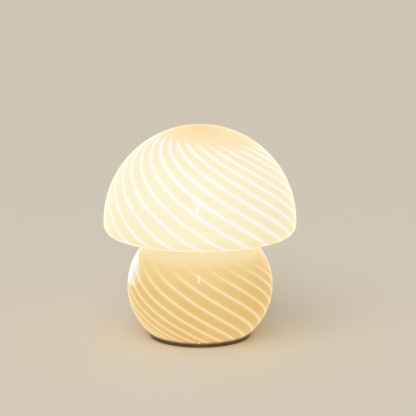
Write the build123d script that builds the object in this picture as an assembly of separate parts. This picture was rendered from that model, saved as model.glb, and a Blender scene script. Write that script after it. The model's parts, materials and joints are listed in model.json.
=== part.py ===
from build123d import *
import os
from math import asin, atan2, cos, hypot, radians, sin, sqrt

# Mushroom table lamp. A one-piece glass body, cap and globe together, stands on a pressed
# steel base. A threaded stem carries a lampholder and a small globe bulb inside the glass.
# Millimetres. The origin is the middle of the face the lamp rests on and +Z is up.
# The front is -Y and the supply lead enters at the back, +Y.

# Glass body, outer surface. Every stretch of its outline is an arc or a straight line.
glass_wall = 3.0
dome_radius = 90.0  # half the cap's width
cap_band_height = 2.0  # upright band below the dome
cap_edge_radius = 10.5  # lower edge of the cap
neck_radius = 35.2  # half the waist between cap and globe
neck_curve_radius = 4.3
globe_radius = 68.4  # half the globe's width
globe_curve_radius = 58.0  # radius of the globe's side, seen in section
globe_centre_rise = 43.5  # widest place of the globe above the glass foot
cap_rise = 61.7  # widest place of the cap above that of the globe
foot_outer_edge = 1.6
foot_inner_edge = 0.5

# Pressed base with its seat, cover and pad.
rim_setback = 1.25  # the base ends this far inside the glass foot
base_sheet = 1.0
skirt_lift = 0.3  # the skirt hangs this far above the table
rim_height = 3.9
rim_edge_radius = 0.8
boss_gap = 6.5  # between the boss and the glass opening
boss_height = 13.8  # above the rim
boss_edge_radius = 3.0
seat_ring_thickness = 0.6
seat_ring_width = 2.2
pad_thickness = 1.5
pad_width = 10.0
cover_thickness = 1.0
cover_rim_width = 1.6
cover_clearance = 0.6

# Standoffs and screws of the cover.
post_count = 3
post_first_angle = 30.0
post_setback = 3.9  # from the pad to the screw heads
post_radius = 3.0
small_screw_radius = 1.45  # M3
small_head_radius = 2.8
small_head_height = 1.2
small_screw_grip = 6.0
thread_clearance = 0.1  # radial, between every screw or tube and its threaded hole

# Lead bushing in the back of the skirt, for a flat two-core lead.
lead_width = 4.8
lead_clearance = 0.2
bushing_wall = 0.6
bushing_side = 1.0
bushing_lip = 1.2
lead_channel_clearance = 0.7
lead_channel_depth = 10.0

# Spring arms that hold the glass by its opening.
arm_count = 3
arm_first_angle = 30.0
arm_width = 10.0
spring_sheet = 0.6
spring_hub_radius = 12.0
arm_clearance = 0.35  # from the glass opening
arm_knee_rise = 6.0  # above the glass foot
arm_bend_radius = 2.0
arm_end_gap = 2.2  # between the boss and the arm's inturned end
arm_end_lift = 0.6  # above the rim

# Threaded stem, its nuts and its sleeve.
stem_radius = 5.0
stem_bore_radius = 3.9
stem_end_proud = 1.3
nut_flats = 14.0
nut_height = 3.0
washer_radius = 10.0
washer_thickness = 1.0
sleeve_clearance = 0.3  # round the corners of the nut
sleeve_wall = 0.8
sleeve_length = 33.4

# Lampholder.
holder_radius = 20.0
holder_wall = 1.6
holder_collar_height = 4.0
holder_cap_height = 24.0
stem_engagement = 4.4
core_thickness = 4.5
core_clearance = 0.3
core_ledge_width = 1.8
holder_sleeve_height = 27.0
holder_mouth_clearance = 1.8  # round the bulb's collar
terminal_width = 5.0
terminal_depth = 6.0
terminal_height = 3.5
terminal_stud_radius = 1.5
live_terminal_x = -5.0
neutral_terminal_x = 8.5
terminal_screw_radius = 1.2
terminal_head_radius = 1.7
terminal_head_height = 1.3

# Round thread shared by the lampholder's shell and the bulb's cap.
thread_pitch = 3.629
shell_radius = 14.3
shell_wall = 0.75
shell_length = 23.0
shell_floor = 0.6
shell_ridge_radius = 0.85
shell_ridge_start = 4.0  # above the shell's floor
shell_ridge_end = 1.6  # below the shell's mouth
thread_gap = 1.45  # radial, between the plain walls of shell and bulb cap
rivet_radius = 1.2
rivet_head_radius = 2.0
rivet_head_height = 0.6
rivet_circle_radius = 10.6

# Centre contact, a bent leaf under the bulb's tip.
contact_sheet = 0.4
contact_width = 5.0
contact_rise = 1.75
contact_reach = 3.0
contact_gap = 0.2
contact_clearance = 0.45  # round the leaf, to the shell's floor

# Globe bulb.
tip_radius = 4.7
tip_height = 1.2
insulator_height = 3.4
bulb_cap_wall = 0.5
bulb_cap_length = 20.0
bulb_ridge_radius = 0.95
bulb_ridge_offset = 0.1  # ridge centre outside the cap's face
bulb_ridge_start = 2.5  # above the lower edge of the bulb's cap
bulb_ridge_end = 0.4  # below the bulb's collar
bulb_collar_neck_height = 4.0
bulb_collar_wall = 1.1
bulb_collar_clearance = 0.2
bulb_collar_overlap = 1.4
bulb_collar_length = 24.4
bulb_radius = 22.5
bulb_joint_drop = 8.0  # envelope edge below the middle of the globe
envelope_wall = 1.0
led_board_thickness = 1.5
led_count = 8
led_circle_radius = 12.0
led_length = 3.5
led_width = 2.8
led_height = 0.7
driver_board_thickness = 1.6
driver_board_width = 18.0
driver_board_drop = 13.0  # its lower end hangs this far into the bulb's cap
capacitor_radius = 3.2
capacitor_length = 11.0
choke_size = 6.0

# Terminal block under the boss and the two wires up the stem.
block_width = 18.0
block_depth = 14.0
block_nut_gap = 4.5  # between the block and the nut's corners
block_cover_gap = 1.3
block_terminal_spacing = 9.0
block_terminal_drop = 9.3  # terminal axis below the boss sheet
insert_radius = 2.4
insert_bore_radius = 1.3
insert_setback = 0.5
clamp_screw_radius = 1.5
clamp_screw_recess = 0.6
wire_radius = 1.0
wire_offset = 1.6  # from the stem's axis
wire_entry = 4.0  # into the terminal block
wire_low_bend = 4.0
wire_turn_bend = 12.0
wire_turn_setback = 4.5  # of the turn into the terminal block
wire_top_bend = 4.0
wire_top_straight = 2.6
wire_stem_clearance = 1.4  # above the stem, before the wire turns out

# Heights that follow, from the table up.
rim_top = skirt_lift + rim_height
glass_foot = rim_top + seat_ring_thickness
globe_centre_height = glass_foot + globe_centre_rise
dome_centre_height = globe_centre_height + cap_rise
cover_bottom = pad_thickness
cover_top = cover_bottom + cover_thickness
boss_top = rim_top + boss_height
boss_underside = boss_top - base_sheet
hub_top = boss_top + spring_sheet
stem_bottom = boss_underside - washer_thickness - nut_height - stem_end_proud
holder_bottom = hub_top + sleeve_length
stem_top = holder_bottom + stem_engagement
core_top = holder_bottom + holder_cap_height
core_bottom = core_top - core_thickness
terminal_bottom = core_bottom - terminal_height
shell_floor_top = core_top + shell_floor
leaf_top = core_top + contact_sheet + contact_rise
bulb_tip = leaf_top + contact_gap
insulator_bottom = bulb_tip + tip_height
bulb_cap_bottom = insulator_bottom + insulator_height
bulb_cap_top = bulb_cap_bottom + bulb_cap_length
bulb_collar_bottom = bulb_cap_top - bulb_collar_overlap
bulb_joint = bulb_collar_bottom + bulb_collar_length
bulb_centre = bulb_joint + bulb_joint_drop
terminal_axis = boss_underside - block_terminal_drop

# Radii and places that follow.
globe_centre_radius = globe_radius - globe_curve_radius
glass_foot_radius = globe_centre_radius + sqrt(globe_curve_radius**2 - globe_centre_rise**2)
inner_globe_curve = globe_curve_radius - glass_wall
glass_opening_radius = globe_centre_radius + sqrt(inner_globe_curve**2 - globe_centre_rise**2)
base_radius = glass_foot_radius - rim_setback
boss_radius = glass_opening_radius - boss_gap
skirt_inner_radius = base_radius - base_sheet
cover_radius = skirt_inner_radius - bushing_lip - cover_clearance
pad_inner_radius = cover_radius - pad_width
post_circle_radius = pad_inner_radius - post_setback - small_head_radius
lead_channel = lead_width + 2 * lead_channel_clearance
screw_hole_radius = small_screw_radius + thread_clearance
stem_hole_radius = stem_radius + thread_clearance
nut_corner_radius = nut_flats / 2 / cos(radians(30))
sleeve_radius = nut_corner_radius + sleeve_clearance + sleeve_wall
bulb_cap_radius = shell_radius - shell_wall - thread_gap
bulb_collar_neck_radius = bulb_cap_radius + bulb_collar_clearance + bulb_collar_wall
block_front_y = nut_corner_radius + block_nut_gap
block_middle_y = block_front_y + block_depth / 2
block_bottom = cover_top + block_cover_gap


def ring(outer, inner, low, high):
    """Plain ring about Z, or a disc where the inner radius is 0."""
    section = Circle(outer) if inner == 0 else Circle(outer) - Circle(inner)
    return extrude(Pos(0, 0, low) * section, amount=high - low)


def turned(*outline):
    """Solid turned about Z from a closed outline of lines or of (radius, height) points."""
    if isinstance(outline[0], tuple):
        outline = [Polyline(*outline, close=True)]
    return revolve(Plane.XZ * make_face(outline), Axis.Z)


def around(count, first_angle, shape):
    """Copies of a shape, evenly spaced about Z."""
    return [Rot(0, 0, first_angle + 360 / count * i) * shape for i in range(count)]


def upright(x, y, radius, low, high):
    """Cylinder along Z."""
    return Pos(x, y, low) * Cylinder(radius, high - low, align=(Align.CENTER, Align.CENTER, Align.MIN))


def block(x, y, low, length, width, height):
    """Box standing on a height, centred on a place."""
    return Pos(x, y, low) * Box(length, width, height, align=(Align.CENTER, Align.CENTER, Align.MIN))


def bent_strip(points, bend, sheet, width):
    """Flat strip bent along a line in the XZ plane, with its width across Y."""
    line = FilletPolyline(*points, radius=bend)
    return extrude(Plane.XZ * trace(line, sheet), amount=width / 2, both=True)


def polar(centre, radius, angle):
    """Point on a circle in the section plane. The angle is in radians from outward."""
    return (centre[0] + radius * cos(angle), centre[1] + radius * sin(angle))


# ---------------------------------------------------------------- glass body

cap_edge_centre = (dome_radius - cap_edge_radius, dome_centre_height - cap_band_height)
globe_centre = (globe_centre_radius, globe_centre_height)

# The neck curve touches the globe below it and, through the underside, the edge of the cap.
neck_middle_radius = neck_radius + neck_curve_radius
neck_reach = globe_curve_radius + neck_curve_radius
neck_rise = sqrt(neck_reach**2 - (neck_middle_radius - globe_centre_radius) ** 2)
neck_middle = (neck_middle_radius, globe_centre_height + neck_rise)
underside_run = cap_edge_centre[0] - neck_middle[0]
underside_drop = cap_edge_centre[1] - neck_middle[1]
underside_reach = hypot(underside_run, underside_drop)
slope = asin((cap_edge_radius + neck_curve_radius) / underside_reach) - atan2(underside_drop, underside_run)


def glass_surface(inset):
    """Section line of the glass, inset from its outer face, from the top to the foot."""
    dome = dome_radius - inset
    edge = cap_edge_radius - inset
    neck = neck_curve_radius + inset
    globe = globe_curve_radius - inset
    dome_centre = (0, dome_centre_height)
    globe_start = polar(globe_centre, globe, atan2(neck_rise, neck_middle_radius - globe_centre_radius))
    foot = (globe_centre_radius + sqrt(globe**2 - globe_centre_rise**2), glass_foot)
    top = (0, dome_centre_height + dome)
    band_top = (dome, dome_centre_height)
    band_bottom = (dome, cap_edge_centre[1])
    underside_start = polar(cap_edge_centre, edge, -radians(90) - slope)
    underside_end = polar(neck_middle, neck, radians(90) - slope)
    lines = [
        ThreePointArc(top, polar(dome_centre, dome, radians(45)), band_top),
        Line(band_top, band_bottom),
        ThreePointArc(band_bottom, polar(cap_edge_centre, edge, -radians(45)), underside_start),
        Line(underside_start, underside_end),
        ThreePointArc(underside_end, (neck_middle[0] - neck, neck_middle[1]), globe_start),
        ThreePointArc(globe_start, (globe_centre_radius + globe, globe_centre_height), foot),
    ]
    return lines, top, foot


def glass_body():
    outer_lines, outer_top, outer_foot = glass_surface(0)
    inner_lines, inner_top, inner_foot = glass_surface(glass_wall)
    ends = [Line(outer_foot, inner_foot), Line(inner_top, outer_top)]
    section = make_face([*outer_lines, *inner_lines, *ends])
    foot_corners = section.vertices().group_by(Axis.Y)[0].sort_by(Axis.X)
    section = fillet(foot_corners[-1], foot_outer_edge)
    foot_corners = section.vertices().group_by(Axis.Y)[0].sort_by(Axis.X)
    section = fillet(foot_corners[0], foot_inner_edge)
    return revolve(Plane.XZ * section, Axis.Z)


# ---------------------------------------------------------------- base

bushing_top = rim_top - base_sheet
bushing_width = lead_width + 2 * (lead_clearance + bushing_side)


def lead_passage(low, high, width, inner, outer):
    """Box through the back of the base, from one radius to another along +Y."""
    return block(0, (inner + outer) / 2, low, width, outer - inner, high - low)


def base_pan():
    wall = base_sheet
    pan = turned(
        (base_radius, skirt_lift), (base_radius, rim_top), (boss_radius, rim_top),
        (boss_radius, boss_top), (stem_hole_radius, boss_top),
        (stem_hole_radius, boss_underside), (boss_radius - wall, boss_underside),
        (boss_radius - wall, rim_top - wall), (skirt_inner_radius, rim_top - wall),
        (skirt_inner_radius, skirt_lift),
    )
    circles = pan.edges().filter_by(GeomType.CIRCLE)
    rim_edge = circles.group_by(SortBy.RADIUS)[-1].sort_by(Axis.Z)[-1]
    pan = fillet(rim_edge, rim_edge_radius)
    boss_edge = pan.edges().filter_by(GeomType.CIRCLE).group_by(Axis.Z)[-1].sort_by(SortBy.RADIUS)[-1]
    pan = fillet(boss_edge, boss_edge_radius)
    pan -= lead_passage(0, bushing_top, bushing_width, skirt_inner_radius - wall, base_radius + wall)
    return pan - upright(0, block_middle_y, screw_hole_radius, boss_underside, boss_top)


def seat_ring():
    inner = glass_opening_radius + foot_inner_edge
    return ring(inner + seat_ring_width, inner, rim_top, glass_foot)


def bottom_cover():
    cover = ring(cover_radius, 0, cover_bottom, cover_top)
    cover += ring(cover_radius, cover_radius - cover_rim_width, cover_top, rim_top - base_sheet)
    screw_hole = upright(post_circle_radius, 0, screw_hole_radius, cover_bottom, cover_top)
    cover -= around(post_count, post_first_angle, screw_hole)
    inner = cover_radius - lead_channel_depth
    return cover - lead_passage(0, rim_top, lead_channel, inner, base_radius)


def foot_pad():
    pad = ring(cover_radius, pad_inner_radius, 0, pad_thickness)
    return pad - lead_passage(0, pad_thickness, lead_channel, pad_inner_radius / 2, base_radius)


def cover_posts():
    post = upright(post_circle_radius, 0, post_radius, cover_top, boss_underside)
    thread_top = cover_top + small_screw_grip + 1
    post -= upright(post_circle_radius, 0, screw_hole_radius, cover_top, thread_top)
    return around(post_count, post_first_angle, post)


def cover_screws():
    head_low = cover_bottom - small_head_height
    screw = upright(post_circle_radius, 0, small_head_radius, head_low, cover_bottom)
    screw += upright(post_circle_radius, 0, small_screw_radius, cover_bottom, cover_top + small_screw_grip)
    slot = block(post_circle_radius, 0, head_low, 2 * small_head_radius, 0.8, small_head_height / 2)
    return around(post_count, post_first_angle, screw - slot)


def cord_bushing():
    """Rubber arch whose groove grips the notch in the skirt. The lead lies under it."""
    inner = skirt_inner_radius - bushing_lip
    outer = base_radius + bushing_lip
    lip_width = bushing_width + 2 * bushing_side
    grip = lead_passage(skirt_lift, bushing_top, bushing_width, boss_radius, outer)
    lips = lead_passage(skirt_lift, bushing_top, lip_width, boss_radius, outer + bushing_lip)
    arch = grip & ring(base_radius, skirt_inner_radius, skirt_lift, bushing_top)
    arch += lips & ring(skirt_inner_radius, inner, skirt_lift, bushing_top)
    arch += lips & ring(outer, base_radius, skirt_lift, bushing_top)
    opening = lead_width + 2 * lead_clearance
    return arch - lead_passage(0, bushing_top - bushing_wall, opening, boss_radius, outer)


def spring_spider():
    reach = glass_opening_radius - arm_clearance
    knee = sqrt(reach**2 - (arm_width / 2) ** 2) - spring_sheet / 2
    shoulder = boss_radius + 2 * spring_sheet
    hub_middle = boss_top + spring_sheet / 2
    points = [
        (spring_hub_radius / 2, hub_middle),
        (shoulder, hub_middle),
        (knee, glass_foot + arm_knee_rise),
        (boss_radius + arm_end_gap, rim_top + arm_end_lift),
    ]
    arm = bent_strip(points, arm_bend_radius, spring_sheet, arm_width)
    spider = ring(spring_hub_radius, 0, boss_top, hub_top) + around(arm_count, arm_first_angle, arm)
    return spider - upright(0, 0, stem_hole_radius, boss_top, hub_top)


# ---------------------------------------------------------------- stem

def hex_nut(low):
    hexagon = RegularPolygon(nut_flats / 2, 6, major_radius=False) - Circle(stem_hole_radius)
    return extrude(Pos(0, 0, low) * hexagon, amount=nut_height)


def stem_tube():
    return ring(stem_radius, stem_bore_radius, stem_bottom, stem_top)


def stem_washer():
    return ring(washer_radius, stem_hole_radius, boss_underside - washer_thickness, boss_underside)


def stem_sleeve():
    return ring(sleeve_radius, sleeve_radius - sleeve_wall, hub_top, holder_bottom)


# ---------------------------------------------------------------- lampholder

def holder_cap():
    """Domed lower half of the lampholder, with a threaded collar and a ledge for the core."""
    wall = holder_wall
    collar = sleeve_radius
    dome = holder_radius - collar
    collar_top = holder_bottom + holder_collar_height
    dome_top = collar_top + dome
    centre = (collar, dome_top)
    inner_dome = dome - wall
    ledge = holder_radius - wall - core_ledge_width
    ledge_drop = sqrt(inner_dome**2 - (ledge - collar) ** 2)
    inner_start = (ledge, dome_top - ledge_drop)
    inner_end = (collar, dome_top - inner_dome)
    return turned(
        Line((stem_hole_radius, holder_bottom), (collar, holder_bottom)),
        Line((collar, holder_bottom), (collar, collar_top)),
        ThreePointArc((collar, collar_top), polar(centre, dome, -radians(45)), (holder_radius, dome_top)),
        Polyline((holder_radius, dome_top), (holder_radius, core_top), (holder_radius - wall, core_top),
                 (holder_radius - wall, core_bottom), (ledge, core_bottom), inner_start),
        ThreePointArc(inner_start, polar(centre, inner_dome, -radians(60)), inner_end),
        Polyline(inner_end, (stem_hole_radius, inner_end[1]), (stem_hole_radius, holder_bottom)),
    )


def holder_sleeve():
    top = core_top + holder_sleeve_height
    inner = holder_radius - holder_wall
    mouth = bulb_collar_neck_radius + holder_mouth_clearance
    return turned(
        (inner, core_top), (holder_radius, core_top), (holder_radius, top),
        (mouth, top), (mouth, top - holder_wall), (inner, top - holder_wall),
    )


def rivet_places():
    return [(0, rivet_circle_radius), (0, -rivet_circle_radius)]


def holder_core():
    core = ring(holder_radius - holder_wall - core_clearance, 0, core_bottom, core_top)
    for x in (live_terminal_x, neutral_terminal_x):
        core -= upright(x, 0, terminal_stud_radius + thread_clearance, core_bottom, core_top)
    for x, y in rivet_places():
        core -= upright(x, y, rivet_radius + thread_clearance, core_bottom, core_top)
    return core


def terminal_posts():
    """Two brass terminals under the core, each with a stud up through it."""
    posts = []
    for x in (live_terminal_x, neutral_terminal_x):
        post = block(x, 0, terminal_bottom, terminal_width, terminal_depth, terminal_height)
        post += upright(x, 0, terminal_stud_radius, core_bottom, core_top)
        hole = Cylinder(terminal_screw_radius + thread_clearance, terminal_depth / 2)
        middle = (x, -terminal_depth / 4, terminal_bottom + terminal_height / 2)
        posts.append(post - Pos(*middle) * Rot(90, 0, 0) * hole)
    return posts


def terminal_screws():
    screws = []
    face = -terminal_depth / 2
    height = terminal_bottom + terminal_height / 2
    for x in (live_terminal_x, neutral_terminal_x):
        shank = Pos(x, face / 2, height) * Rot(90, 0, 0) * Cylinder(terminal_screw_radius, -face)
        head_middle = face - terminal_head_height / 2
        head = Pos(x, head_middle, height) * Rot(90, 0, 0) * Cylinder(terminal_head_radius, terminal_head_height)
        slot = Pos(x, face - terminal_head_height, height) * Box(2 * terminal_head_radius, 0.8, 0.6)
        screws.append(shank + head - slot)
    return screws


shell_thread_start = shell_floor_top + shell_ridge_start


def thread_ridge(radius, ridge, low, high):
    """Rounded helical ridge, centred on a cylinder, from one height to another."""
    helix = Helix(pitch=thread_pitch, height=high - low, radius=radius)
    section = Plane(origin=helix @ 0, z_dir=helix % 0) * Circle(ridge)
    return Pos(0, 0, low) * sweep(section, path=helix, is_frenet=True)


def screw_shell():
    """Brass cup with an inward thread, riveted to the core."""
    top = core_top + shell_length
    inner = shell_radius - shell_wall
    leaf_corner = hypot(live_terminal_x - terminal_stud_radius, contact_width / 2)
    floor = ring(shell_radius, leaf_corner + contact_clearance, core_top, shell_floor_top)
    wall = ring(shell_radius, inner, shell_floor_top, top)
    ridge = thread_ridge(inner, shell_ridge_radius, shell_thread_start, top - shell_ridge_end)
    wall += ridge & ring(shell_radius, 0, shell_floor_top, top)
    for x, y in rivet_places():
        floor -= upright(x, y, rivet_radius + thread_clearance, core_top, shell_floor_top)
    return floor + wall


def shell_rivets():
    rivets = []
    for x, y in rivet_places():
        rivet = upright(x, y, rivet_radius, core_bottom, shell_floor_top)
        rivet += upright(x, y, rivet_head_radius, shell_floor_top, shell_floor_top + rivet_head_height)
        rivets.append(rivet + upright(x, y, rivet_head_radius, core_bottom - rivet_head_height, core_bottom))
    return rivets


def centre_contact():
    low = core_top + contact_sheet / 2
    high = low + contact_rise
    start = live_terminal_x - terminal_stud_radius
    points = [(start, low), (start + 3.4, low), (0, high), (contact_reach, high)]
    return bent_strip(points, contact_sheet, contact_sheet, contact_width)


# ---------------------------------------------------------------- bulb

def bulb_tip_contact():
    edge = tip_height / 2
    return turned(
        (0, bulb_tip), (tip_radius - edge, bulb_tip), (tip_radius, bulb_tip + edge),
        (tip_radius, insulator_bottom), (0, insulator_bottom),
    )


def bulb_insulator():
    return turned(
        (0, insulator_bottom), (tip_radius + 0.6, insulator_bottom),
        (bulb_cap_radius, bulb_cap_bottom), (0, bulb_cap_bottom),
    )


def bulb_screw_cap():
    """Thin threaded cap. Its ridge runs midway between the turns of the shell's ridge."""
    inner = bulb_cap_radius - bulb_cap_wall
    lowest = bulb_cap_bottom + bulb_ridge_start
    turns_above = int((lowest - shell_thread_start) / thread_pitch) + 0.5
    low = shell_thread_start + turns_above * thread_pitch
    high = bulb_collar_bottom - bulb_ridge_end - bulb_ridge_radius
    ridge = thread_ridge(bulb_cap_radius + bulb_ridge_offset, bulb_ridge_radius, low, high)
    wall = ring(bulb_cap_radius, 0, bulb_cap_bottom, bulb_cap_top) + ridge
    return wall - ring(inner, 0, bulb_cap_bottom, bulb_cap_top)


def bulb_collar():
    """Flared collar between the bulb's cap and its envelope."""
    wall = bulb_collar_wall
    neck = bulb_collar_neck_radius
    neck_top = bulb_collar_bottom + bulb_collar_neck_height
    rim = sqrt(bulb_radius**2 - bulb_joint_drop**2)
    flare_middle = ((neck + rim) / 2 + 1.6, (neck_top + bulb_joint) / 2)
    inner_middle = (flare_middle[0] - wall, flare_middle[1])
    return turned(
        Polyline((neck - wall, bulb_collar_bottom), (neck, bulb_collar_bottom), (neck, neck_top)),
        ThreePointArc((neck, neck_top), flare_middle, (rim, bulb_joint)),
        Line((rim, bulb_joint), (rim - wall, bulb_joint)),
        ThreePointArc((rim - wall, bulb_joint), inner_middle, (neck - wall, neck_top)),
        Line((neck - wall, neck_top), (neck - wall, bulb_collar_bottom)),
    )


def led_board_radius():
    rim = sqrt(bulb_radius**2 - bulb_joint_drop**2)
    return rim - 2 * bulb_collar_wall


def led_board():
    return ring(led_board_radius(), 0, bulb_joint - led_board_thickness, bulb_joint)


def led_chips():
    chip = block(led_circle_radius, 0, bulb_joint, led_length, led_width, led_height)
    return around(led_count, 0, chip)


driver_board_bottom = bulb_cap_top - driver_board_drop
driver_board_top = bulb_joint - led_board_thickness


def driver_board():
    height = driver_board_top - driver_board_bottom
    return block(0, 0, driver_board_bottom, driver_board_width, driver_board_thickness, height)


def driver_parts():
    """Capacitor and choke standing on the two faces of the driver board."""
    face = driver_board_thickness / 2
    low = bulb_cap_top + 2
    capacitor = upright(0, face + capacitor_radius, capacitor_radius, low, low + capacitor_length)
    choke = block(0, -face - choke_size / 2, low, choke_size, choke_size, choke_size)
    return [capacitor, choke]


def bulb_envelope():
    inner = bulb_radius - envelope_wall
    edge = sqrt(bulb_radius**2 - bulb_joint_drop**2)
    inner_edge = sqrt(inner**2 - bulb_joint_drop**2)
    return turned(
        ThreePointArc((0, bulb_centre + bulb_radius), (bulb_radius, bulb_centre), (edge, bulb_joint)),
        Line((edge, bulb_joint), (inner_edge, bulb_joint)),
        ThreePointArc((inner_edge, bulb_joint), (inner, bulb_centre), (0, bulb_centre + inner)),
        Line((0, bulb_centre + inner), (0, bulb_centre + bulb_radius)),
    )


# ---------------------------------------------------------------- terminal block and wires

terminal_xs = (-block_terminal_spacing / 2, block_terminal_spacing / 2)
clamp_ys = (block_middle_y - block_depth / 4, block_middle_y + block_depth / 4)


def along_y(x, radius, start, end):
    """Cylinder along Y at the height of the terminals."""
    middle = (x, (start + end) / 2, terminal_axis)
    return Pos(*middle) * Rot(90, 0, 0) * Cylinder(radius, end - start)


def terminal_block():
    height = boss_underside - block_bottom
    body = block(0, block_middle_y, block_bottom, block_width, block_depth, height)
    back_y = block_front_y + block_depth
    for x in terminal_xs:
        body -= along_y(x, insert_radius, block_front_y, back_y)
        for y in clamp_ys:
            body -= upright(x, y, clamp_screw_radius + thread_clearance, block_bottom, terminal_axis)
    body -= upright(0, block_middle_y, screw_hole_radius, block_bottom, boss_underside)
    recess_top = block_bottom + small_head_height + clamp_screw_recess
    return body - upright(0, block_middle_y, small_head_radius + thread_clearance, block_bottom, recess_top)


def terminal_inserts():
    inserts = []
    start = block_front_y + insert_setback
    end = block_front_y + block_depth - insert_setback
    for x in terminal_xs:
        insert = along_y(x, insert_radius, start, end) - along_y(x, insert_bore_radius, start, end)
        for y in clamp_ys:
            insert -= upright(x, y, clamp_screw_radius + thread_clearance, block_bottom, terminal_axis)
        inserts.append(insert)
    return inserts


def clamp_screws():
    screws = []
    low = block_bottom + clamp_screw_recess
    high = terminal_axis - wire_radius
    for x in terminal_xs:
        for y in clamp_ys:
            slot = block(x, y, low, 2 * clamp_screw_radius, 0.6, 0.5)
            screws.append(upright(x, y, clamp_screw_radius, low, high) - slot)
    return screws


def block_screw():
    low = block_bottom + clamp_screw_recess
    head = upright(0, block_middle_y, small_head_radius, low, low + small_head_height)
    slot = block(0, block_middle_y, low, 2 * small_head_radius, 0.8, small_head_height / 2)
    return head + upright(0, block_middle_y, small_screw_radius, low, boss_top) - slot


def stem_wire(side, terminal_x):
    """Insulated wire from the terminal block, up through the stem, to a terminal."""
    x = side * wire_offset
    end_x = side * block_terminal_spacing / 2
    path = FilletPolyline(
        (terminal_x, 0, terminal_bottom),
        (terminal_x, 0, terminal_bottom - wire_top_straight),
        (x, 0, stem_top + wire_stem_clearance),
        (x, 0, terminal_axis),
        (end_x, block_front_y - wire_turn_setback, terminal_axis),
        (end_x, block_front_y + wire_entry, terminal_axis),
        radius=[wire_top_bend, wire_top_bend, wire_low_bend, wire_turn_bend],
    )
    section = Plane(origin=path @ 0, z_dir=path % 0) * Circle(wire_radius)
    return sweep(section, path=path)


nodes = {
    "glass_body": glass_body(),
    "base_pan": base_pan(),
    "seat_ring": seat_ring(),
    "bottom_cover": bottom_cover(),
    "foot_pad": foot_pad(),
    "cover_posts": cover_posts(),
    "cover_screws": cover_screws(),
    "cord_bushing": cord_bushing(),
    "spring_spider": spring_spider(),
    "stem_tube": stem_tube(),
    "stem_washer": stem_washer(),
    "stem_nut_lower": hex_nut(stem_bottom + stem_end_proud),
    "stem_nut_upper": hex_nut(hub_top),
    "stem_sleeve": stem_sleeve(),
    "holder_cap": holder_cap(),
    "holder_sleeve": holder_sleeve(),
    "holder_core": holder_core(),
    "terminal_posts": terminal_posts(),
    "terminal_screws": terminal_screws(),
    "screw_shell": screw_shell(),
    "shell_rivets": shell_rivets(),
    "centre_contact": centre_contact(),
    "bulb_tip_contact": bulb_tip_contact(),
    "bulb_insulator": bulb_insulator(),
    "bulb_screw_cap": bulb_screw_cap(),
    "bulb_collar": bulb_collar(),
    "led_board": led_board(),
    "led_chips": led_chips(),
    "driver_board": driver_board(),
    "driver_parts": driver_parts(),
    "bulb_envelope": bulb_envelope(),
    "terminal_block": terminal_block(),
    "terminal_inserts": terminal_inserts(),
    "clamp_screws": clamp_screws(),
    "block_screw": block_screw(),
    "live_wire": stem_wire(-1, live_terminal_x),
    "neutral_wire": stem_wire(1, neutral_terminal_x),
}

os.makedirs("parts", exist_ok=True)
for name, shape in nodes.items():
    pieces = shape if isinstance(shape, list) else [shape]
    solids = [solid for piece in pieces for solid in piece.solids()]
    export_step(Compound(solids), f"parts/{name}.step")
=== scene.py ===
"""Mushroom table lamp: striped glass over a dark metal base, with its lampholder and bulb."""

import json
from math import asin, atan2, cos, degrees, hypot, pi, radians, sin, sqrt

import bmesh
import bpy
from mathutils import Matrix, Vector


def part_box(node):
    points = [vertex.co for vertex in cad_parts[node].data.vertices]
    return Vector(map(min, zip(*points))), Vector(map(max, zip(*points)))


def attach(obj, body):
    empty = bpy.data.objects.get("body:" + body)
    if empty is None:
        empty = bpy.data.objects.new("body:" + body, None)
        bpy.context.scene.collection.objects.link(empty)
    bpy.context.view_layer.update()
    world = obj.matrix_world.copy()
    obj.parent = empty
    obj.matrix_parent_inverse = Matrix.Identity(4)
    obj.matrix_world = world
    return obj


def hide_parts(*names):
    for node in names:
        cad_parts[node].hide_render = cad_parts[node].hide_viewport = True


bl_info = {
    "name": "Mushroom Table Lamp",
    "version": (1, 0, 0),
    "blender": (4, 5, 0),
    "location": "3D View > Sidebar > Lamp",
    "description": "Builds a striped glass mushroom lamp with its base, lampholder and bulb",
    "category": "Add Mesh",
}

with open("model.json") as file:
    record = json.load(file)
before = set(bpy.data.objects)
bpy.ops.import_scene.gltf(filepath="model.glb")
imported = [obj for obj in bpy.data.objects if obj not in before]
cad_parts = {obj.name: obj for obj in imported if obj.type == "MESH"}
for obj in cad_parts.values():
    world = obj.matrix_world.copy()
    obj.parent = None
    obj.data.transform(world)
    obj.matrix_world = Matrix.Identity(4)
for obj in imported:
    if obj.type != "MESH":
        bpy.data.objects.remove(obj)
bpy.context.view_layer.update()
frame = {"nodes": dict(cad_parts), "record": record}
glass_low, glass_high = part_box("glass_body")

millimetres, micrometres = 1000.0, 1e6  # in a metre
quarter = pi / 2


def screen(red, green, blue):
    """Scene colour of a screen colour given from 0 to 255."""
    return tuple(
        v / 255 / 12.92 if v <= 10 else ((v / 255 + 0.055) / 1.055) ** 2.4
        for v in (red, green, blue)
    )


def length(name, text, default):
    return bpy.props.FloatProperty(
        name=name, description=text, default=default, min=0.0, max=1.0, unit="LENGTH", precision=5
    )


def colour(name, text, default):
    return bpy.props.FloatVectorProperty(
        name=name, description=text, default=default, size=3, min=0.0, max=1.0, subtype="COLOR"
    )


def amount(name, text, default, low=0.0, high=1.0):
    return bpy.props.FloatProperty(name=name, description=text, default=default, min=low, max=high)


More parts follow.
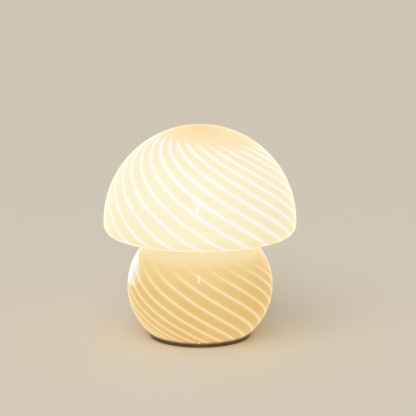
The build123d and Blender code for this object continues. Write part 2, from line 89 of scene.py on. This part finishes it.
class LampGlassSettings(bpy.types.PropertyGroup):
    """Shape of the blown glass and layout of its canes."""

    cap_radius: length("Cap Radius", "Outer radius of the cap", glass_high.x)
    cap_edge_radius: length("Cap Edge Radius", "Rounding of the cap's lower edge", 0.0105)
    cap_band: length("Cap Band", "Straight band between the dome and its rounded edge", 0.002)
    neck_radius: length("Neck Radius", "Half the waist between cap and globe", 0.0352)
    neck_curve: length("Neck Curve", "Radius of the hollow curve of the neck", 0.0043)
    globe_radius: length("Globe Radius", "Outer radius of the globe", 0.0684)
    globe_curve: length("Globe Curve", "Radius of the globe's section", 0.058)
    globe_rise: length("Globe Rise", "Height of the globe's middle above the foot", 0.0435)
    wall: length("Wall", "Thickness of the glass", 0.003)
    foot_edge: length("Foot Edge", "Rounding of the glass foot", 0.001)
    canes: bpy.props.IntProperty(name="Canes", description="White canes round the glass", default=25, min=3)
    bunching: amount("Bunching", "How unevenly the canes stand round the glass", 0.148)
    bunch_angle: bpy.props.FloatProperty(
        name="Bunch Angle", description="Where the canes stand closest", default=radians(7.4), subtype="ANGLE"
    )
    first_cane: amount("First Cane", "Offset of the canes round the glass, in canes", 6.944, -50, 50)


class LampColourSettings(bpy.types.PropertyGroup):
    """Colours of the lamp with its light on: the glass colours are its painted glow, and the rim edge is a
    painted reflection of that glow.
    """

    top: colour("Top", "Glass at the very top, over the bulb", screen(243, 204, 138))
    crown: colour("Crown", "Glass round the top of the cap", screen(251, 223, 172))
    cap_high: colour("Upper Cap", "Glass where the canes begin", screen(252, 232, 190))
    cap: colour("Cap", "Glass of the cap", screen(254, 244, 210))
    cap_edge: colour("Cap Edge", "Glass at the cap's lower edge", screen(255, 244, 201))
    shade: colour("Underside", "Glass under the cap", screen(252, 232, 186))
    globe_top: colour("Globe Top", "Glass of the globe next to the neck", screen(244, 214, 151))
    globe: colour("Globe", "Glass of the upper globe", screen(233, 197, 127))
    globe_low: colour("Lower Globe", "Glass of the lower globe", screen(231, 193, 117))
    globe_foot: colour("Globe Foot", "Glass where it turns in to the base", screen(230, 194, 116))
    cap_cane: colour("Cap Canes", "Canes of the cap", screen(255, 255, 250))
    globe_cane: colour("Globe Canes", "Canes of the globe", screen(255, 231, 180))
    glow: amount("Glow", "Share of the glass colour that comes from the bulb's light", 0.75)
    rim: colour("Rim", "Dark polish of the base", screen(98, 90, 78))
    # Colour of the painted reflection of the glass's glow on the base's rounded edge.
    rim_glow_reflection: colour("Rim Edge", "Painted reflection of the glass's glow on the base's edge", screen(226, 190, 140))
    floor: colour("Floor", "Colour of the floor", screen(220, 212, 198))


# Materials.


class Finish:
    """A material with a Principled surface, and short ways to add nodes to it."""

    def __init__(self, name, **sockets):
        self.material = bpy.data.materials.new(name)
        self.material.use_nodes = True
        self.tree = self.material.node_tree
        self.shader = self.tree.nodes["Principled BSDF"]
        self.place = self.add("ShaderNodeTexCoord").outputs["Object"]
        self.set(**sockets)

    def set(self, **sockets):
        for name, value in sockets.items():
            self.join(value, self.shader.inputs[name.replace("_", " ")])

    def join(self, value, socket):
        if isinstance(value, bpy.types.NodeSocket):
            self.tree.links.new(value, socket)
        elif socket.type == "RGBA" and len(value) == 3:
            socket.default_value = (*value, 1.0)
        else:
            socket.default_value = value

    def add(self, kind, inputs=None, **settings):
        node = self.tree.nodes.new(kind)
        for name, value in settings.items():
            setattr(node, name, value)
        for key, value in (inputs or {}).items():
            self.join(value, node.inputs[key])
        return node

    def maths(self, operation, *values, clamp=False):
        node = self.add("ShaderNodeMath", dict(enumerate(values)), operation=operation, use_clamp=clamp)
        return node.outputs[0]

    def between(self, value, low, high, start=0.0, end=1.0):
        """value moved smoothly from low..high to start..end, and held at the ends."""
        node = self.add(
            "ShaderNodeMapRange",
            {"Value": value, "From Min": low, "From Max": high, "To Min": start, "To Max": end},
            interpolation_type="SMOOTHSTEP",
        )
        return node.outputs["Result"]

    def mixed(self, share, first, second, blend="MIX"):
        node = self.add("ShaderNodeMix", data_type="RGBA", blend_type=blend)
        self.join(share, node.inputs[0])
        self.join(first, node.inputs[6])
        self.join(second, node.inputs[7])
        return node.outputs[2]

    def stretched(self, scale, turn=(0, 0, 0)):
        inputs = {"Vector": self.place, "Scale": scale, "Rotation": turn}
        return self.add("ShaderNodeMapping", inputs).outputs[0]

    def noise(self, scale, stretch=None, detail=4.0):
        inputs = {
            "Vector": self.stretched(stretch) if stretch else self.place,
            "Scale": scale, "Detail": detail, "Roughness": 0.55,
        }
        return self.add("ShaderNodeTexNoise", inputs).outputs["Fac"]

    def axes(self):
        """x, y and z on the lamp, in metres."""
        return self.add("ShaderNodeSeparateXYZ", {0: self.place}).outputs

    def bump(self, height, depth, strength):
        """Relief from a height of 0 to 1, with its depth in micrometres."""
        inputs = {"Height": height, "Distance": depth / micrometres, "Strength": strength}
        self.set(Normal=self.add("ShaderNodeBump", inputs).outputs[0])


def cane_share(f, index, along):
    """Share of white at a spot, from its running cane number and its millimetres down the glass."""
    sway = 0.08  # how far a cane strays to either side, in canes
    strayed = f.maths("ADD", index, f.maths("MULTIPLY_ADD", f.noise(16.0, detail=1.0), 2 * sway, -sway))
    number = f.maths("ROUND", strayed)
    chance = f.add("ShaderNodeTexWhiteNoise", {"W": number}, noise_dimensions="1D").outputs["Value"]

    # Across the cane, from its middle outwards: a firm core with a faint halo.
    cap_half, globe_half, spare_half = 1.5, 1.3, 0.4
    offset = f.maths("ABSOLUTE", f.maths("SUBTRACT", strayed, number))
    pitch = f.add("ShaderNodeAttribute", attribute_name="cane_pitch").outputs["Fac"]
    distance = f.maths("MULTIPLY", f.maths("MULTIPLY", offset, pitch), millimetres)
    plain_half = f.between(along, 130.0, 260.0, cap_half, globe_half)
    near = f.maths("DIVIDE", distance, f.maths("ADD", plain_half, f.maths("MULTIPLY", chance, spare_half)))
    core = f.between(near, 0.1, 1.45, 0.86, 0.0)
    halo = f.between(near, 0.5, 3.4, 0.14, 0.0)

    # Along the cane: it comes up some way down the cap, and is faint from the underside of the cap to the
    # top of the globe.
    left, right, left_start, right_start = -0.055, 0.035, 26.0, 45.0
    spare_start, rise, faint = 6.0, 14.0, 0.3
    start = f.maths(
        "MULTIPLY_ADD", chance, spare_start, f.between(f.axes()[0], left, right, left_start, right_start))
    risen = f.maths("DIVIDE", f.maths("SUBTRACT", along, start), rise, clamp=True)
    fading = f.between(along, 170.0, 200.0, 1.0, faint)
    returning = f.between(along, 236.0, 262.0)
    white = f.maths("MULTIPLY", f.maths("ADD", core, halo), risen)
    return f.maths("MULTIPLY", white, f.maths("MAXIMUM", fading, returning))


def amber_shades(f, along, colours):
    """Painted glow of the lit glass down the lamp, brightest in the cap and darker at the top and down the
    globe, in faint clouds, and with a painted warm light on the right.
    """
    ramp_end = 330.0
    # The stops are the painted glow of the bulb's light in the glass, from the top down to the foot.
    stops = [
        (5, colours.top), (25, colours.crown), (45, colours.cap_high), (84, colours.cap), (126, colours.cap),
        (144, colours.cap_edge), (185, colours.shade), (236, colours.shade), (246, colours.globe_top),
        (266, colours.globe), (282, colours.globe_low), (312, colours.globe_low), (325, colours.globe_foot),
    ]
    ramp = f.add("ShaderNodeValToRGB", {0: f.maths("DIVIDE", along, ramp_end)})
    elements = ramp.color_ramp.elements
    while len(elements) < len(stops):
        elements.new(0.5)
    for element, (position, shade) in zip(elements, stops):
        element.position = position / ramp_end
        element.color = (*shade, 1.0)

    cloud = f.between(f.noise(22.0, detail=2.0), 0.3, 0.7, 0.0, 0.14)
    clouded = f.mixed(cloud, ramp.outputs[0], colours.crown)
    # Painted warm light: the right side of the glass is tinted warmer, as light bounced from that side would
    # tint it.
    right_radius, warmer = 0.08, (0.985, 0.965, 0.90)
    return f.mixed(f.between(f.axes()[0], 0.0, right_radius), clouded, warmer, "MULTIPLY")


def striped_glass(colours):
    """Amber glass with white canes, with the bulb's light from inside painted on as its glow."""
    f = Finish("striped_amber_glass", Roughness=0.09, IOR=1.5, Specular_IOR_Level=0.24)
    canes = f.add("ShaderNodeUVMap", uv_map="canes").outputs[0]
    index, metres_down, _ = f.add("ShaderNodeSeparateXYZ", {0: canes}).outputs
    along = f.maths("MULTIPLY", metres_down, millimetres)
    white = f.mixed(f.between(along, 180.0, 240.0), colours.cap_cane, colours.globe_cane)
    lit = f.mixed(cane_share(f, index, along), amber_shades(f, along, colours), white)
    # Painted glow: the lit colour is given as emission, standing in for the bulb's light shining through, and
    # the glass's own colour is dimmed to match.
    dim = 1.0 - colours.glow
    f.set(Base_Color=f.mixed(1.0, lit, (dim, dim, dim), "MULTIPLY"), Emission_Color=lit)
    f.set(Emission_Strength=colours.glow)
    f.bump(f.noise(14.0, detail=2.0), 1200, 0.35)
    return f.material


def black_nickel_polish(colours):
    """Dark polish in soft smears, with a painted reflection of the glowing glass as a bright band along the
    rounded edge of the base.
    """
    f = Finish("black_nickel_polish", Metallic=1.0, Coat_Weight=0.3)
    swirl = f.noise(60.0, (1, 1, 22), detail=6.0)
    smear = f.noise(35.0, detail=3.0)
    dark = f.mixed(f.between(smear, 0.35, 0.7), colours.rim, screen(118, 106, 90))
    # Painted reflection: the glass's glow is painted as a bright band round the rim's rounded shoulder,
    # fainter above it.
    edge_begins, edge_ends, left_above = (3.2, 3.7), (4.15, 4.6), 0.35
    high = f.maths("MULTIPLY", f.axes()[2], millimetres)
    glow_reflection = f.maths("MULTIPLY", f.between(high, *edge_begins), f.between(high, *edge_ends, 1.0, left_above))
    f.set(Base_Color=f.mixed(glow_reflection, dark, colours.rim_glow_reflection))
    f.set(Roughness=f.between(f.maths("ADD", swirl, smear), 0.7, 1.4, 0.10, 0.24))
    f.bump(swirl, 6, 0.5)
    return f.material


def opal_diffuser():
    """Bulb cover, lit from inside and warmer towards its collar."""
    f = Finish("opal_diffuser", Roughness=0.3)
    collar_height, crown_height = 0.128, 0.146
    lit = f.mixed(
        f.between(f.axes()[2], collar_height, crown_height), screen(255, 226, 176), screen(255, 246, 222))
    pearl = f.between(f.noise(160.0, detail=2.0), 0.3, 0.7, 0.0, 0.12)
    lit = f.mixed(pearl, lit, screen(255, 232, 190))
    f.set(Base_Color=lit, Emission_Color=lit, Emission_Strength=0.6)
    f.bump(f.noise(1800.0), 10, 0.4)
    return f.material


def white_lacquer_board():
    """Lamp board of the bulb, with the grooves between its copper fields showing through."""
    f = Finish("white_lacquer_board", Roughness=0.35)
    fields = f.add("ShaderNodeTexVoronoi", {"Vector": f.place, "Scale": 420.0}, feature="DISTANCE_TO_EDGE")
    raised = f.between(fields.outputs["Distance"], 0.03, 0.06)
    f.set(Base_Color=f.mixed(raised, screen(206, 204, 196), screen(242, 242, 238)))
    f.bump(raised, 30, 0.6)
    return f.material


def green_circuit_board():
    """Driver board, with its tracks as paler lines."""
    f = Finish("green_circuit_board", Roughness=0.32)
    upright = f.stretched((1, 1, 1), (quarter, 0, 0))
    tracks = f.add("ShaderNodeTexBrick", {
        "Vector": upright, "Scale": 260.0, "Color1": screen(24, 96, 56), "Color2": screen(20, 84, 50),
        "Mortar": screen(52, 138, 84), "Mortar Size": 0.035,
    }).outputs
    f.set(Base_Color=tracks["Color"])
    f.bump(tracks["Fac"], 30, 0.6)
    return f.material


def worked(name, first, second, roughness, grain, depth, metallic=0.0, stretch=None, coat=0.0, patch=120.0):
    """A plain finish: two shades in patches, and a grain that carries roughness and bump."""
    f = Finish(name, Metallic=metallic, Coat_Weight=coat)
    patches = f.noise(patch, detail=3.0)
    relief = f.noise(grain, stretch, detail=5.0)
    f.set(Base_Color=f.mixed(f.between(patches, 0.3, 0.7), screen(*first), screen(*second)))
    f.set(Roughness=f.between(relief, 0.25, 0.75, *roughness))
    f.bump(relief, depth, 0.6)
    return f.material


# By the record's slot: name, two screen colours, range of roughness, scale of the grain, its depth in
# micrometres, and what else the finish has.
plain_finishes = {
    "seat_silicone": ("clear_silicone", (226, 214, 186), (214, 200, 168), (0.32, 0.50), 900, 10, {}),
    "cover_plastic": ("moulded_black_plastic", (38, 37, 36), (46, 45, 43), (0.50, 0.72), 2600, 30, {}),
    "pad_rubber": ("foam_rubber", (30, 30, 31), (40, 39, 38), (0.78, 0.95), 3200, 60, {}),
    "bushing_rubber": ("black_rubber", (24, 24, 25), (34, 33, 33), (0.55, 0.75), 2400, 20, {}),
    "zinc_steel": (
        "zinc_plated_steel", (196, 196, 188), (178, 184, 190), (0.22, 0.42), 1500, 8, {"metallic": 1.0}),
    "spring_steel": (
        "spring_strip_steel", (186, 186, 184), (200, 197, 190), (0.16, 0.30), 260, 2,
        {"metallic": 1.0, "stretch": (1, 1, 14), "patch": 60.0}),
    "sleeve_brass": (
        "polished_brass", (218, 184, 116), (208, 170, 98), (0.10, 0.24), 90, 3,
        {"metallic": 1.0, "stretch": (1, 1, 30), "coat": 0.2, "patch": 45.0}),
    "holder_plastic": (
        "ivory_phenolic", (236, 230, 214), (232, 225, 208), (0.24, 0.36), 1500, 6, {"coat": 0.15}),
    "core_ceramic": ("steatite_ceramic", (238, 235, 226), (224, 219, 206), (0.35, 0.60), 2200, 30, {}),
    "contact_brass": (
        "stamped_brass", (206, 170, 100), (188, 148, 84), (0.22, 0.40), 800, 10, {"metallic": 1.0}),
    "bulb_cap_metal": (
        "nickel_plated_cap", (206, 206, 204), (190, 188, 184), (0.14, 0.30), 300, 10,
        {"metallic": 1.0, "stretch": (1, 1, 8)}),
    "insulator_black": ("black_glass_insulator", (16, 16, 18), (28, 26, 30), (0.06, 0.16), 700, 10, {}),
    "bulb_white": ("white_bulb_housing", (240, 240, 236), (235, 234, 229), (0.30, 0.42), 2000, 8, {}),
    "led_phosphor": ("led_phosphor", (246, 214, 92), (250, 226, 130), (0.20, 0.34), 1500, 10, {}),
    "part_black": ("component_black", (30, 30, 34), (44, 43, 46), (0.30, 0.50), 1600, 20, {}),
    "block_nylon": ("clear_nylon", (232, 228, 214), (220, 214, 196), (0.30, 0.46), 1400, 20, {}),
    "live_insulation": ("brown_wire_insulation", (104, 62, 34), (88, 50, 27), (0.32, 0.46), 900, 10, {}),
    "neutral_insulation": ("blue_wire_insulation", (46, 96, 176), (38, 82, 156), (0.32, 0.46), 900, 10, {}),
}


def finishes(colours):
    """Every finish of the carried-over parts, by the record's slot."""
    made = {slot: worked(*row, **more) for slot, (*row, more) in plain_finishes.items()}
    made["base_finish"] = black_nickel_polish(colours)
    made["opal_diffuser"] = opal_diffuser()
    made["board_white"] = white_lacquer_board()
    made["board_green"] = green_circuit_board()
    return made


# Geometry.


class Section:
    """A line in the XZ plane, grown from one vertex, that keeps how far down the glass it has come."""

    def __init__(self, bm, start, layer, travelled=0.0, direction=1):
        self.bm, self.layer, self.travelled, self.direction = bm, layer, travelled, direction
        self.tip = bm.verts.new((start[0], 0, start[1]))
        self.tip[layer] = travelled

    def arc(self, centre, angle, outer_radius, steps):
        """Swings the tip round a centre; a positive angle turns it from above towards the outside.

        outer_radius, in millimetres, is the radius that the way down the glass is counted on.
        """
        before = len(self.bm.verts)
        made = bmesh.ops.spin(
            self.bm, geom=[self.tip], cent=(centre[0], 0, centre[1]), axis=(0, 1, 0), angle=angle,
            steps=steps, use_merge=False,
        )
        self.bm.verts.ensure_lookup_table()
        swing = self.direction * abs(angle) * outer_radius / steps
        for number, vertex in enumerate(self.bm.verts[before:], 1):
            vertex[self.layer] = self.travelled + number * swing
        self.travelled += swing * steps
        self.tip = next(g for g in made["geom_last"] if isinstance(g, bmesh.types.BMVert))

    def straight(self, target, along, steps=1):
        """Draws the tip to a point, along millimetres further down the glass."""
        start = self.tip.co.copy()
        for number in range(1, steps + 1):
            made = bmesh.ops.extrude_vert_indiv(self.bm, verts=[self.tip])
            self.tip = made["verts"][0]
            self.tip.co = start.lerp(Vector((target[0], 0, target[1])), number / steps)
            self.tip[self.layer] = self.travelled + self.direction * along * number / steps
        self.travelled += self.direction * along


class GlassShape:
    """Centres, angles and lengths of the glass section, where each curve runs into the next."""

    def __init__(self, s):
        self.foot = glass_low.z
        self.globe_centre = (s.globe_radius - s.globe_curve, self.foot + s.globe_rise)
        self.cap_centre = (0.0, glass_high.z - s.cap_radius)
        self.edge_centre = (s.cap_radius - s.cap_edge_radius, self.cap_centre[1] - s.cap_band)

        # The neck's hollow curve touches the globe and the waist.
        reach = s.globe_curve + s.neck_curve
        middle = s.neck_radius + s.neck_curve
        rise = sqrt(reach**2 - (middle - self.globe_centre[0]) ** 2)
        self.neck_centre = (middle, self.globe_centre[1] + rise)

        # The underside is the straight line that touches the cap's edge and the neck's curve.
        run = self.edge_centre[0] - middle
        drop = self.edge_centre[1] - self.neck_centre[1]
        both = s.cap_edge_radius + s.neck_curve
        self.slope = asin(both / hypot(run, drop)) - atan2(drop, run)
        self.underside = sqrt(run**2 + drop**2 - both**2)
        self.globe_start = atan2(rise, middle - self.globe_centre[0])
        self.neck_turn = self.globe_start + pi - (quarter - self.slope)

    def foot_angle(self, radius):
        """Angle from the neck round to the foot on a globe section of this radius."""
        return self.globe_start + asin((self.globe_centre[1] - self.foot) / radius)


def polar(centre, radius, angle):
    return (centre[0] + radius * cos(angle), centre[1] + radius * sin(angle))


# How the canes turn round the glass on their way down. Ways down are in millimetres and turns in degrees,
# and the cap and the globe each count theirs from a middle, in steps.
cap_middle, cap_step, cap_end = 95, 50, 147
globe_middle, globe_step, globe_begin = 285, 40, 243
cap_steepness, globe_steepness = 44.0, 50.9  # turn in a step, at the ends of the stretch between them
hidden_span = globe_begin - cap_end


def cap_turn(steps):
    return 46.005 * steps - 0.036 * steps**2 - 0.637 * steps**3


def globe_turn(steps):
    return 195.21 + 51.061 * steps + 0.069 * steps**2


def cane_twist(along):
    """Turn of the canes this far down the glass, eased over the stretch between cap and globe."""
    if along < cap_end:
        return cap_turn((along - cap_middle) / cap_step)
    if along > globe_begin:
        return globe_turn((along - globe_middle) / globe_step)
    t = (along - cap_end) / hidden_span
    start = cap_turn((cap_end - cap_middle) / cap_step)
    end = globe_turn((globe_begin - globe_middle) / globe_step)
    slope_start = cap_steepness / cap_step * hidden_span
    slope_end = globe_steepness / globe_step * hidden_span
    return (
        (2 * t**3 - 3 * t**2 + 1) * start + (t**3 - 2 * t**2 + t) * slope_start
        + (3 * t**2 - 2 * t**3) * end + (t**3 - t**2) * slope_end
    )


def cane_lean(angle, along):
    """How far a cane strays from the common turn, which the cap's canes do and the globe's don't."""
    right_lean, front_lean = 5.899, -1.765
    if along < cap_end:
        steps = (along - cap_middle) / cap_step
    else:
        steps = max(0.0, (cap_end - cap_middle) / cap_step * (globe_begin - along) / hidden_span)
    return steps * (right_lean * sin(radians(angle)) + front_lean * cos(radians(angle)))


def cane_number(s, angle, along):
    """Running number of the cane at an angle round the lamp and a length down the glass."""
    turned = angle - cane_twist(along) - cane_lean(angle, along)
    bunched = turned + degrees(s.bunching) * sin(radians(turned) - s.bunch_angle)
    return s.canes * bunched / 360 + s.first_cane


def cane_spacing(s, angle, along, radius):
    """Distance between neighbouring canes, square to them, in metres."""
    least = 1e-6
    turn, step = 0.5, 1.0  # degrees and millimetres to either side
    round_change = cane_number(s, angle + turn, along) - cane_number(s, angle - turn, along)
    down_change = cane_number(s, angle, along + step) - cane_number(s, angle, along - step)
    across = round_change / (2 * turn) / max(radians(radius), least)
    down = down_change / (2 * step) * millimetres
    return 1 / max(hypot(across, down), least)


# Steps of each stretch of the section, outside and inside, and of the turn round the axis.
outer_steps = {"dome": 56, "edge": 16, "underside": 8, "neck": 12, "globe": 56}
inner_steps = {"dome": 36, "edge": 8, "underside": 6, "neck": 8, "globe": 40}
round_steps = 192
same_place, same_height = 1e-6, 1e-5


def glass_mesh(s):
    """Closed glass shell: the outer line down to the foot, the inner line back up, turned round the axis."""
    shape = GlassShape(s)
    bm = bmesh.new()
    layer = bm.verts.layers.float.new("along")
    cap_outer, edge_outer = s.cap_radius * millimetres, s.cap_edge_radius * millimetres
    neck_outer, globe_outer = s.neck_curve * millimetres, s.globe_curve * millimetres
    band, underside = s.cap_band * millimetres, shape.underside * millimetres

    outer = Section(bm, (0, glass_high.z), layer)
    outer.arc(shape.cap_centre, quarter, cap_outer, outer_steps["dome"])
    outer.straight((s.cap_radius, shape.edge_centre[1]), band)
    outer.arc(shape.edge_centre, quarter + shape.slope, edge_outer, outer_steps["edge"])
    neck_top = polar(shape.neck_centre, s.neck_curve, quarter - shape.slope)
    outer.straight(neck_top, underside, outer_steps["underside"])
    outer.arc(shape.neck_centre, -shape.neck_turn, neck_outer, outer_steps["neck"])
    sweep = shape.foot_angle(s.globe_curve)
    outer.arc(shape.globe_centre, sweep, globe_outer, outer_steps["globe"])

    globe_inner = s.globe_curve - s.wall
    inner_sweep = shape.foot_angle(globe_inner)
    inner_foot = polar(shape.globe_centre, globe_inner, shape.globe_start - inner_sweep)
    inner = Section(bm, inner_foot, layer, outer.travelled, -1)
    bm.edges.new((outer.tip, inner.tip))
    inner.arc(shape.globe_centre, -inner_sweep, globe_outer * sweep / inner_sweep, inner_steps["globe"])
    inner.arc(shape.neck_centre, shape.neck_turn, neck_outer, inner_steps["neck"])
    edge_bottom = polar(shape.edge_centre, s.cap_edge_radius - s.wall, -quarter - shape.slope)
    inner.straight(edge_bottom, underside, inner_steps["underside"])
    inner.arc(shape.edge_centre, -quarter - shape.slope, edge_outer, inner_steps["edge"])
    inner.straight((s.cap_radius - s.wall, shape.cap_centre[1]), band)
    inner.arc(shape.cap_centre, -quarter, cap_outer, inner_steps["dome"])

    bmesh.ops.spin(
        bm, geom=bm.verts[:] + bm.edges[:], cent=(0, 0, 0), axis=(0, 0, 1), angle=2 * pi, steps=round_steps,
        use_merge=True, use_duplicate=False,
    )
    bmesh.ops.remove_doubles(bm, verts=bm.verts[:], dist=same_place)
    bmesh.ops.recalc_face_normals(bm, faces=bm.faces[:])
    foot_edges = [
        e for e in bm.edges
        if all(abs(v.co.z - shape.foot) < same_height for v in e.verts)
        and abs(e.verts[0].co.xy.length - e.verts[1].co.xy.length) < same_height
    ]
    bmesh.ops.bevel(
        bm, geom=foot_edges, offset=s.foot_edge, offset_type="OFFSET", segments=4, profile=0.5,
        affect="EDGES", material=-1, clamp_overlap=True,
    )
    return bm, layer


def angle_round(spot):
    """Angle of a spot round the lamp in degrees, from the front."""
    return degrees(atan2(spot.x, -spot.y))


def lay_canes(bm, layer, s):
    """Stores the cane number and the length down the glass as a UV map, and the cane spacing per vertex."""
    uv = bm.loops.layers.uv.new("canes")
    pitch = bm.verts.layers.float.new("cane_pitch")
    for face in bm.faces:
        centre_angle = angle_round(face.calc_center_median())
        for loop in face.loops:
            v = loop.vert
            angle = centre_angle
            if v.co.xy.length > same_place:
                # The corner's own angle, without the jump behind the lamp.
                angle = centre_angle + (angle_round(v.co) - centre_angle + 180) % 360 - 180
            along = v[layer]
            loop[uv].uv = (cane_number(s, angle, along), along / millimetres)
    for v in bm.verts:
        v[pitch] = cane_spacing(s, angle_round(v.co), v[layer], v.co.xy.length)


def mesh_object(name, bm, material, body):
    mesh = bpy.data.meshes.new(name)
    bm.to_mesh(mesh)
    bm.free()
    mesh.polygons.foreach_set("use_smooth", [True] * len(mesh.polygons))
    piece = bpy.data.objects.new(name, mesh)
    bpy.context.scene.collection.objects.link(piece)
    mesh.materials.append(material)
    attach(piece, body)
    return piece


# Stage.


def facing(place, target):
    """Turn that points a light at place towards target."""
    return (Vector(place) - Vector(target)).to_track_quat("Z", "Y").to_euler()


def area_light(name, place, target, size, power, tint, spread=180, shape="RECTANGLE"):
    light = bpy.data.lights.new(name, "AREA")
    light.shape = shape
    light.size, light.size_y = size
    light.energy = power
    light.color = tint
    light.spread = radians(spread)
    lamp = bpy.data.objects.new(name, light)
    bpy.context.scene.collection.objects.link(lamp)
    lamp.location = place
    lamp.rotation_euler = facing(place, target)
    return lamp


def painted_floor(colours):
    floor_radius = 14.0
    bm = bmesh.new()
    bmesh.ops.create_circle(bm, cap_ends=True, segments=96, radius=floor_radius)
    mesh = bpy.data.meshes.new("floor")
    bm.to_mesh(mesh)
    bm.free()
    mesh.materials.append(Finish("floor_paint", Base_Color=colours.floor, Roughness=0.85).material)
    floor = bpy.data.objects.new("floor", mesh)
    bpy.context.scene.collection.objects.link(floor)


def studio_air():
    """Even pale light from all round."""
    world = bpy.data.worlds.new("studio")
    bpy.context.scene.world = world
    world.use_nodes = True
    background = world.node_tree.nodes["Background"]
    background.inputs["Color"].default_value = (*screen(250, 246, 238), 1.0)
    background.inputs["Strength"].default_value = 0.62


def strip_softbox():
    """A narrow light in front, for the upright gleam on the cap and the globe."""
    lamp_middle = (0.0, 0.0, 0.09)
    area_light("strip_softbox", (-0.069, -1.96, 1.09), lamp_middle, (0.04, 0.56), 3.8, (1.0, 1.0, 1.0))


def window_lights():
    """The cool gleam of a window on the left of the globe, bright in the middle and softer round it."""
    place, target = (-0.0968, 0.0178, 0.064), (-0.030, -0.0565, 0.037)
    power, cool, spread = 0.010, (0.26, 0.50, 1.0), 80
    for name, size in (("window_glow", (0.100, 0.046)), ("window_core", (0.068, 0.028))):
        window = area_light(name, place, target, size, power, cool, spread, "ELLIPSE")
        window.visible_diffuse = False
        window.visible_transmission = False
        window.visible_camera = False


def soft_key():
    """A broad soft sun from the front left, which gives the lamp its shadow and no gleam of its own."""
    sun = bpy.data.lights.new("soft_key", "SUN")
    sun.energy = 1.1
    sun.angle = radians(50)
    sun.color = (1.0, 0.985, 0.96)
    key = bpy.data.objects.new("soft_key", sun)
    bpy.context.scene.collection.objects.link(key)
    key.rotation_euler = facing((-0.30, -0.75, 1.0), (0.0, 0.0, 0.0))
    key.visible_glossy = False


def portrait_camera():
    looks_down = 10.9
    view = bpy.data.cameras.new("camera")
    view.sensor_width = 36.0
    view.lens = 133.3
    view.clip_end = 50.0
    camera = bpy.data.objects.new("camera", view)
    bpy.context.scene.collection.objects.link(camera)
    camera.location = (0.0075, -1.414, 0.394)
    camera.rotation_euler = (radians(90 - looks_down), 0, 0)
    bpy.context.scene.camera = camera


# Operators.


class LAMP_OT_glass(bpy.types.Operator):
    """Blown glass cap and globe in one piece, with its canes"""

    bl_idname = "lamp.glass"
    bl_label = "Glass"

    def execute(self, context):
        settings = context.scene.lamp_glass
        bm, layer = glass_mesh(settings)
        lay_canes(bm, layer, settings)
        glass = mesh_object("glass", bm, striped_glass(context.scene.lamp_colours), "glass")
        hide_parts("glass_body")
        return {"FINISHED"}


class LAMP_OT_finishes(bpy.types.Operator):
    """Finishes of the base, the lampholder, the bulb and the wiring"""

    bl_idname = "lamp.finishes"
    bl_label = "Finishes"

    def execute(self, context):
        made = finishes(context.scene.lamp_colours)
        for row in frame["record"]["subparts"]:
            if row["material_slot"] == "amber_glass":
                continue
            node = frame["nodes"][row["node"]]
            for slot in node.material_slots:
                slot.material = made[row["material_slot"]]
        return {"FINISHED"}


class LAMP_OT_stage(bpy.types.Operator):
    """Floor, soft studio light and camera"""

    bl_idname = "lamp.stage"
    bl_label = "Stage"

    def execute(self, context):
        painted_floor(context.scene.lamp_colours)
        studio_air()
        strip_softbox()
        window_lights()
        soft_key()
        portrait_camera()
        context.scene.view_settings.view_transform = "Standard"
        return {"FINISHED"}


class LAMP_PT_panel(bpy.types.Panel):
    """Lists the lamp's pieces and settings"""

    bl_idname = "LAMP_PT_panel"
    bl_label = "Mushroom Lamp"
    bl_space_type = "VIEW_3D"
    bl_region_type = "UI"
    bl_category = "Lamp"

    def draw(self, context):
        for operator in (LAMP_OT_glass, LAMP_OT_finishes, LAMP_OT_stage):
            self.layout.operator(operator.bl_idname)
        for settings in (context.scene.lamp_glass, context.scene.lamp_colours):
            box = self.layout.box()
            for name in settings.bl_rna.properties.keys():
                if name not in {"rna_type", "name"}:
                    box.prop(settings, name)


classes = (
    LampGlassSettings,
    LampColourSettings,
    LAMP_OT_glass,
    LAMP_OT_finishes,
    LAMP_OT_stage,
    LAMP_PT_panel,
)


def register():
    for cls in classes:
        bpy.utils.register_class(cls)
    bpy.types.Scene.lamp_glass = bpy.props.PointerProperty(type=LampGlassSettings)
    bpy.types.Scene.lamp_colours = bpy.props.PointerProperty(type=LampColourSettings)


def unregister():
    del bpy.types.Scene.lamp_colours
    del bpy.types.Scene.lamp_glass
    for cls in reversed(classes):
        bpy.utils.unregister_class(cls)


def main():
    register()
    bpy.ops.lamp.stage()
    bpy.ops.lamp.glass()
    bpy.ops.lamp.finishes()


if __name__ == "__main__":
    main()
